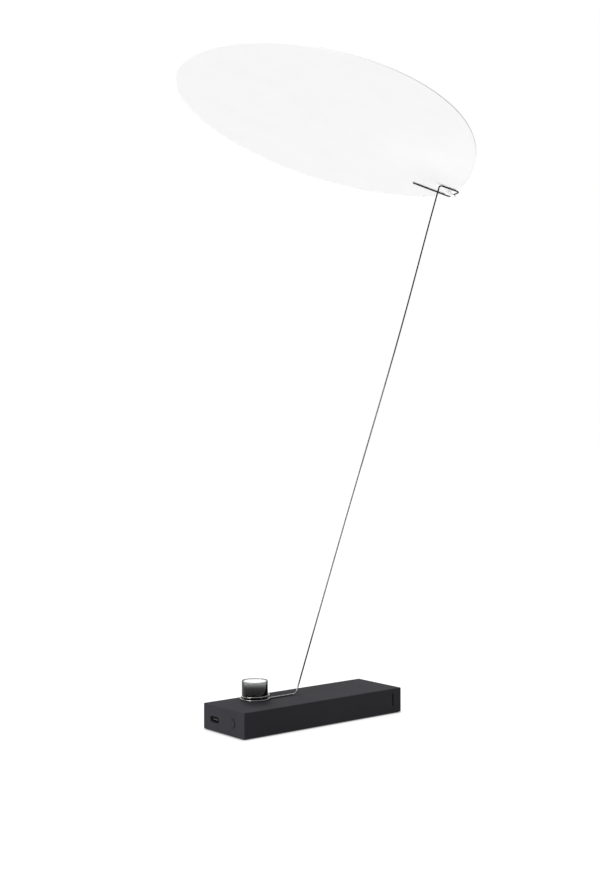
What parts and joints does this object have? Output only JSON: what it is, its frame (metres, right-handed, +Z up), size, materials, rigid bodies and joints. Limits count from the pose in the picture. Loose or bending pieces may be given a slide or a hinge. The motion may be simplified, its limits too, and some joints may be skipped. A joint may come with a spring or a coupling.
{
  "type": "table lamp",
  "caption": "Battery table lamp: a lens in a flat base lights a round white sheet held by a leaning steel wire.",
  "frame": {"origin": "middle of the base's footprint, on the surface that the lamp stands on", "axes": "+X along the base away from the port and the button, -Y out of the long front, +Z up"},
  "size_m": [0.2681, 0.2725, 0.5541],
  "materials": {
    "dark_case": "dark grey anodised aluminium, fine matt",
    "rubber": "matt black silicone rubber",
    "black_plastic": "matt black moulded plastic",
    "steel": "bright drawn stainless steel",
    "white_sheet": "matt white board, smooth on both faces",
    "clear_lens": "clear polished, flat top",
    "green_board": "green circuit board",
    "white_board": "white solder mask or nylon",
    "bare_aluminium": "plain milled aluminium",
    "pouch_foil": "dull silver pouch foil",
    "phosphor": "yellow phosphor under a clear dome",
    "foam": "dark grey closed foam",
    "red_sleeve": "red silicone sleeve",
    "black_sleeve": "black silicone sleeve",
    "ferrite": "dark grey ferrite"
  },
  "bodies": {
    "base": {"base_tube": "dark_case", "port_end_cap": "dark_case", "far_end_cap": "dark_case", "foot_pad": "rubber", "chassis_tray": "black_plastic", "cap_screw_1": "steel", "cap_screw_2": "steel", "cap_screw_3": "steel", "cap_screw_4": "steel", "control_board": "green_board", "board_screw_1": "steel", "board_screw_2": "steel", "port_shell": "steel", "port_tongue": "black_plastic", "switch_body": "black_plastic", "controller_chip": "black_plastic", "charger_chip": "black_plastic", "inductor": "ferrite", "smoothing_capacitor": "bare_aluminium", "battery_socket": "white_board", "battery_plug": "white_board", "heat_spreader": "bare_aluminium", "led_board": "white_board", "led_screw_1": "steel", "led_screw_2": "steel", "led_emitter": "phosphor", "lens_holder": "black_plastic", "lens": "clear_lens", "lower_cell": "pouch_foil", "upper_cell": "pouch_foil", "foam_pad": "foam", "protection_board": "green_board", "battery_lead_red": "red_sleeve", "battery_lead_black": "black_sleeve", "led_lead_red": "red_sleeve", "led_lead_black": "black_sleeve"},
    "arm": {"rod_wire": "steel"},
    "shade": {"reflector": "white_sheet"},
    "button": {"power_button": "dark_case", "switch_plunger": "black_plastic"}
  },
  "joints": [
    {"name": "rod_swivel", "type": "hinge", "parent": "base", "child": "arm", "pos_m": [-0.04315, 0.0126, 0.02185], "axis": [0, 0, 1], "continuous": true},
    {"name": "reflector_turn", "type": "hinge", "parent": "arm", "child": "shade", "pos_m": [0.17964, 0.00244, 0.45831], "axis": [0.395, -0.0939, 0.9139], "range_deg": [-8, 8]},
    {"name": "button_press", "type": "slide", "parent": "base", "child": "button", "axis": [1, 0, 0], "range_m": [0, 0.0005], "stiffness_N_per_m": 3000, "springref_m": -0.0003}
  ]
}
